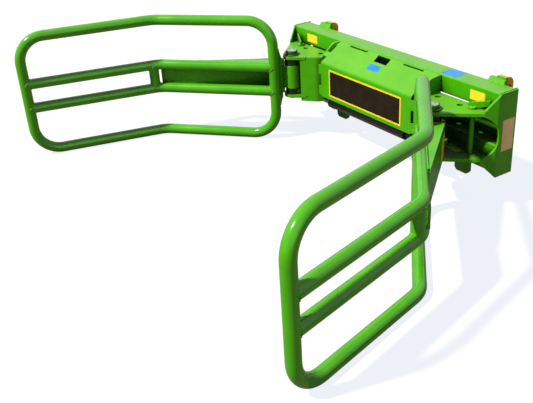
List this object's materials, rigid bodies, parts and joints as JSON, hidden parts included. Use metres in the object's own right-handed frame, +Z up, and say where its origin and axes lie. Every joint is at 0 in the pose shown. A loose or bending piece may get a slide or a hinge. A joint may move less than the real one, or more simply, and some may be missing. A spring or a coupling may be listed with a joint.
{
  "type": "bale handler",
  "caption": "Tractor loader bale handler: a headstock with hitch hooks and lugs carries bent tubular arms on upright pivots, closed on a bale by a cross cylinder.",
  "frame": {"origin": "on the floor under the middle of the bounding box", "axes": "+X across the headstock, arms reach towards -Y, +Z up"},
  "size_m": [2.1954, 1.3985, 0.5989],
  "materials": {
    "green_paint": "gloss",
    "ochre_paint": "satin",
    "black_paint": "gloss",
    "pin_steel": "satin",
    "rod_chrome": "polished"
  },
  "bodies": {
    "headstock": {"top_rail": "green_paint", "lower_rail": "green_paint", "back_sheet": "green_paint", "cover": "green_paint", "end_plate_right": "green_paint", "end_plate_left": "green_paint", "top_wing_right": "green_paint", "top_wing_left": "green_paint", "lower_wing_right": "green_paint", "lower_wing_left": "green_paint", "wall_right": "green_paint", "wall_left": "green_paint", "hitch_plate_right": "green_paint", "hitch_plate_left": "green_paint", "hook_saddle_right": "green_paint", "hook_saddle_left": "green_paint", "hook_right": "ochre_paint", "hook_left": "ochre_paint", "hitch_lug_right": "green_paint", "hitch_lug_left": "green_paint", "stop_pin_right": "green_paint", "stop_pin_left": "green_paint"},
    "arm_right": {"arm_loop_right": "green_paint", "inner_tube_upper_right": "green_paint", "inner_tube_lower_right": "green_paint", "arm_strut_right": "green_paint", "arm_web_right": "green_paint", "arm_beam_right": "green_paint", "arm_knuckle_right": "green_paint", "pivot_pin_right": "pin_steel", "crank_right": "green_paint"},
    "arm_left": {"arm_loop_left": "green_paint", "inner_tube_upper_left": "green_paint", "inner_tube_lower_left": "green_paint", "arm_strut_left": "green_paint", "arm_web_left": "green_paint", "arm_beam_left": "green_paint", "arm_knuckle_left": "green_paint", "pivot_pin_left": "pin_steel", "crank_left": "green_paint"},
    "barrel": {"cylinder_barrel": "black_paint"},
    "rod": {"cylinder_rod": "rod_chrome"}
  },
  "joints": [
    {"name": "arm_right_swing", "type": "hinge", "parent": "headstock", "child": "arm_right", "pos_m": [0.462, 0.40725, 0.29945], "axis": [0, 0, -1], "range_deg": [0, 45]},
    {"name": "arm_left_swing", "type": "hinge", "parent": "headstock", "child": "arm_left", "pos_m": [-0.462, 0.40725, 0.29945], "axis": [0, 0, 1], "range_deg": [0, 45]},
    {"name": "barrel_eye", "type": "hinge", "parent": "arm_right", "child": "barrel", "pos_m": [0.42067, 0.50703, 0.19145], "axis": [0, 0, 1], "range_deg": [0, 45]},
    {"name": "rod_eye", "type": "hinge", "parent": "arm_left", "child": "rod", "pos_m": [-0.42067, 0.50703, 0.19145], "axis": [0, 0, -1], "range_deg": [0, 45]}
  ],
  "couplings": [
    {"joint": "arm_left_swing", "follows": "arm_right_swing", "ratio": 1},
    {"joint": "barrel_eye", "follows": "arm_right_swing", "ratio": 1},
    {"joint": "rod_eye", "follows": "arm_right_swing", "ratio": 1}
  ]
}
